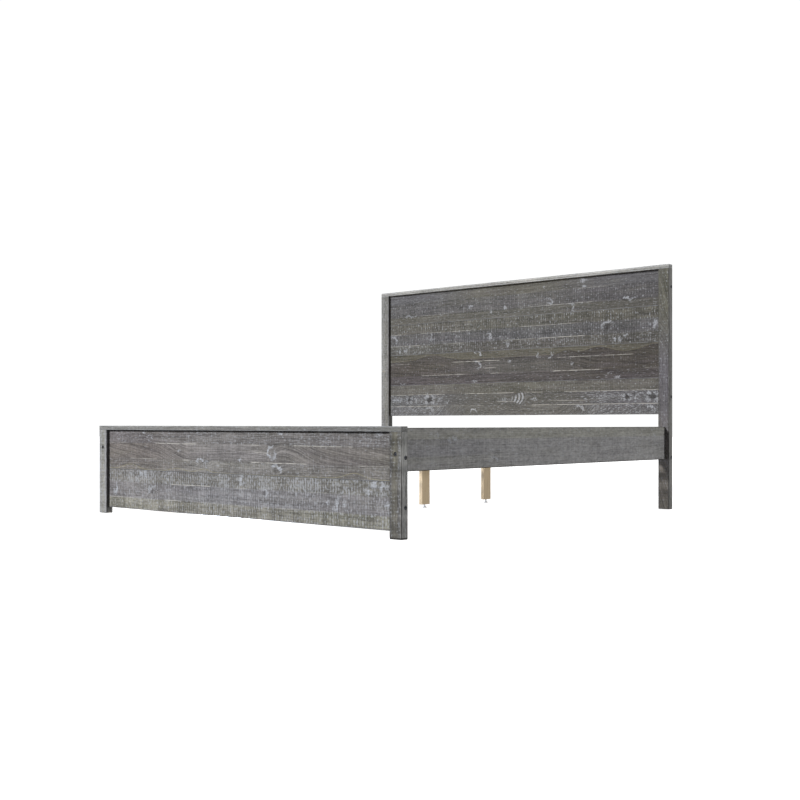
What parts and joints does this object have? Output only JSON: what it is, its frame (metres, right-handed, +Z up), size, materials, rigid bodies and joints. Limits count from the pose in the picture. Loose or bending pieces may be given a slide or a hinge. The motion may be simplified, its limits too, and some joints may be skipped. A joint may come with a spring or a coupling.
{
  "type": "bed frame",
  "caption": "Wooden bed frame with a tall planked headboard, a low planked footboard, side rails, slats on cleats and a centre beam on short legs with levelling glides.",
  "frame": {"origin": "on the floor, under the middle of the bed's overall width and length", "axes": "+Z up, +Y along the bed from the footboard to the headboard, +X across the bed to the right as seen from the foot"},
  "size_m": [2.03, 2.115, 1.272],
  "materials": {
    "weathered_panel": "sawn pine planks under a worn whitewashed grey stain, matt",
    "weathered_cap": "smooth pine under a pale grey stain, matt",
    "weathered_frame": "smooth pine under a grey stain, matt, with worn edges",
    "pine_slat": "bare planed pine",
    "natural_pine": "bare planed pine",
    "beech_dowel": "bare beech",
    "blackened_steel": "blackened steel, satin",
    "zinc_steel": "zinc plated steel",
    "zinc_screw": "yellow zinc plated steel",
    "pressed_steel": "black powder coat",
    "nylon_pad": "natural nylon",
    "dark_pad": "dark moulded plastic"
  },
  "bodies": {
    "frame": {"barrel_nuts": "zinc_steel", "beam_insert_nuts": "zinc_steel", "beam_saddle_foot": "pressed_steel", "beam_saddle_head": "pressed_steel", "cap_dowels": "beech_dowel", "centre_beam": "natural_pine", "centre_leg_1": "natural_pine", "centre_leg_2": "natural_pine", "centre_leg_3": "natural_pine", "centre_leg_4": "natural_pine", "cleat_screws": "zinc_screw", "floor_pads": "dark_pad", "footboard_cap": "weathered_cap", "footboard_plank_1": "weathered_panel", "footboard_plank_2": "weathered_panel", "footboard_post_left": "weathered_frame", "footboard_post_right": "weathered_frame", "glide_insert_nuts": "zinc_steel", "head_stretcher": "natural_pine", "headboard_cap": "weathered_cap", "headboard_plank_1": "weathered_panel", "headboard_plank_2": "weathered_panel", "headboard_plank_3": "weathered_panel", "headboard_plank_4": "weathered_panel", "headboard_post_left": "weathered_frame", "headboard_post_right": "weathered_frame", "leg_dowels": "beech_dowel", "leg_hanger_bolts": "zinc_steel", "panel_bolts": "blackened_steel", "panel_dowels": "beech_dowel", "rail_bolts": "blackened_steel", "rail_dowels": "beech_dowel", "saddle_screws": "zinc_screw", "side_rail_left": "weathered_frame", "side_rail_right": "weathered_frame", "slat_1": "pine_slat", "slat_10": "pine_slat", "slat_11": "pine_slat", "slat_12": "pine_slat", "slat_13": "pine_slat", "slat_14": "pine_slat", "slat_2": "pine_slat", "slat_3": "pine_slat", "slat_4": "pine_slat", "slat_5": "pine_slat", "slat_6": "pine_slat", "slat_7": "pine_slat", "slat_8": "pine_slat", "slat_9": "pine_slat", "slat_cleat_left": "natural_pine", "slat_cleat_right": "natural_pine", "slat_screws": "zinc_screw"},
    "glide_1": {"glide_stem_1": "zinc_steel", "glide_pad_1": "nylon_pad"},
    "glide_2": {"glide_stem_2": "zinc_steel", "glide_pad_2": "nylon_pad"},
    "glide_3": {"glide_stem_3": "zinc_steel", "glide_pad_3": "nylon_pad"},
    "glide_4": {"glide_stem_4": "zinc_steel", "glide_pad_4": "nylon_pad"}
  },
  "joints": [
    {"name": "glide_1_slide", "type": "slide", "parent": "frame", "child": "glide_1", "axis": [0, 0, 1], "range_m": [-0.01, 0.008]},
    {"name": "glide_2_slide", "type": "slide", "parent": "frame", "child": "glide_2", "axis": [0, 0, 1], "range_m": [-0.01, 0.008]},
    {"name": "glide_3_slide", "type": "slide", "parent": "frame", "child": "glide_3", "axis": [0, 0, 1], "range_m": [-0.01, 0.008]},
    {"name": "glide_4_slide", "type": "slide", "parent": "frame", "child": "glide_4", "axis": [0, 0, 1], "range_m": [-0.01, 0.008]}
  ]
}
